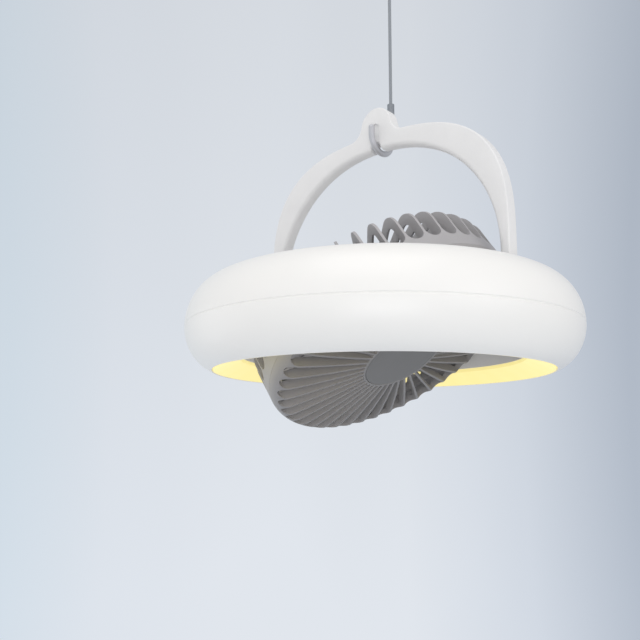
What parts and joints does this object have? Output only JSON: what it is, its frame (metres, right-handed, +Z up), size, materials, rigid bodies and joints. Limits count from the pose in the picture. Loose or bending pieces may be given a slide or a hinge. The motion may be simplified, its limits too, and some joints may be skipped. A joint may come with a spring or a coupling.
{
  "type": "hanging camping fan with ring lamp",
  "caption": "Ring lamp on a carrying handle with a tilting caged fan in its open middle, hung by a hook on a short cord.",
  "frame": {"origin": "centre of the hanging eye at the top of the cord", "axes": "+Z up; the handle's plate lies in the XZ plane; +Y is the axis of the hanging eye and of the fan's tilt, and the fan's front looks down and towards +X"},
  "size_m": [0.2, 0.2, 0.2644],
  "materials": {
    "steel": "plain steel",
    "cord": "braided grey-blue cord",
    "ferrule": "dark grey moulded sleeve",
    "hook": "satin grey coated rod",
    "handle_white": "white, satin",
    "nylon_grey": "dark grey nylon",
    "shell_white": "white, soft gloss",
    "liner_grey": "light grey, matt",
    "light_cover": "warm yellow diffuser",
    "reflector": "white reflector",
    "board_white": "white circuit board",
    "led": "yellow lamp chips",
    "cell": "metal can in a green shrink sleeve",
    "wire_red": "red insulated wire",
    "wire_black": "black insulated wire",
    "board_green": "green circuit board",
    "light_pipe": "frosted clear plastic",
    "button": "light grey, satin",
    "fan_grey": "grey, satin",
    "grille_grey": "grey, satin",
    "cap_grey": "grey, smooth satin",
    "bush_brass": "turned brass",
    "motor_alloy": "die-cast alloy",
    "stator_steel": "stacked steel sheet",
    "winding": "enamelled copper wire",
    "impeller": "light grey moulded plastic",
    "magnet": "black magnet ring"
  },
  "bodies": {
    "hanger": {"hang_eye": "steel", "cord": "cord", "cord_ferrule": "ferrule", "hook": "hook"},
    "handle": {"handle": "handle_white", "handle_bushes": "nylon_grey"},
    "ring": {"upper_shell": "shell_white", "lower_shell": "shell_white", "inner_liner": "liner_grey", "light_cover": "light_cover", "reflector": "reflector", "led_board": "board_white", "led_chips": "led", "battery_cell_1": "cell", "battery_cell_2": "cell", "cell_cradle_1": "nylon_grey", "cell_cradle_2": "nylon_grey", "battery_leads": "wire_red", "control_board": "board_green", "button_switches": "nylon_grey", "charging_socket": "steel", "charge_lights": "light_pipe", "motor_lead": "wire_black", "handle_pins": "steel", "tilt_brackets": "liner_grey", "tilt_pin": "steel", "tilt_tube": "steel", "tilt_washers": "nylon_grey", "reflector_screws": "steel"},
    "fan_button": {"fan_button": "button"},
    "light_button": {"light_button": "button"},
    "fan_head": {"rear_shell": "fan_grey", "front_grille": "grille_grey", "front_cap": "cap_grey", "tilt_bushes": "bush_brass", "motor_base": "motor_alloy", "motor_screws": "steel", "motor_board": "board_green", "motor_stator": "stator_steel", "motor_windings": "winding", "front_bearing": "steel", "rear_bearing": "steel"},
    "impeller": {"impeller": "impeller", "rotor_cup": "stator_steel", "rotor_magnet": "magnet", "motor_shaft": "steel", "shaft_clip": "steel"}
  },
  "joints": [
    {"name": "hook_swing", "type": "hinge", "parent": "hanger", "child": "handle", "pos_m": [0, -0.0105, -0.10843], "axis": [0, 1, 0], "range_deg": [-30, 30]},
    {"name": "ring_swing", "type": "hinge", "parent": "handle", "child": "ring", "pos_m": [0, -0.0105, -0.18933], "axis": [1, 0, 0], "range_deg": [-60, 60]},
    {"name": "fan_tilt", "type": "hinge", "parent": "ring", "child": "fan_head", "pos_m": [0, -0.0105, -0.20383], "axis": [0, 1, 0], "range_deg": [-125, 145]},
    {"name": "impeller_spin", "type": "hinge", "parent": "fan_head", "child": "impeller", "pos_m": [0, -0.0105, -0.20383], "axis": [0.5736, 0, -0.8192], "continuous": true},
    {"name": "fan_button_press", "type": "slide", "parent": "ring", "child": "fan_button", "axis": [0.7071, -0.7071, 0], "range_m": [0, 0.0005], "stiffness_N_per_m": 800},
    {"name": "light_button_press", "type": "slide", "parent": "ring", "child": "light_button", "axis": [0.7071, -0.7071, 0], "range_m": [0, 0.0005], "stiffness_N_per_m": 800}
  ]
}
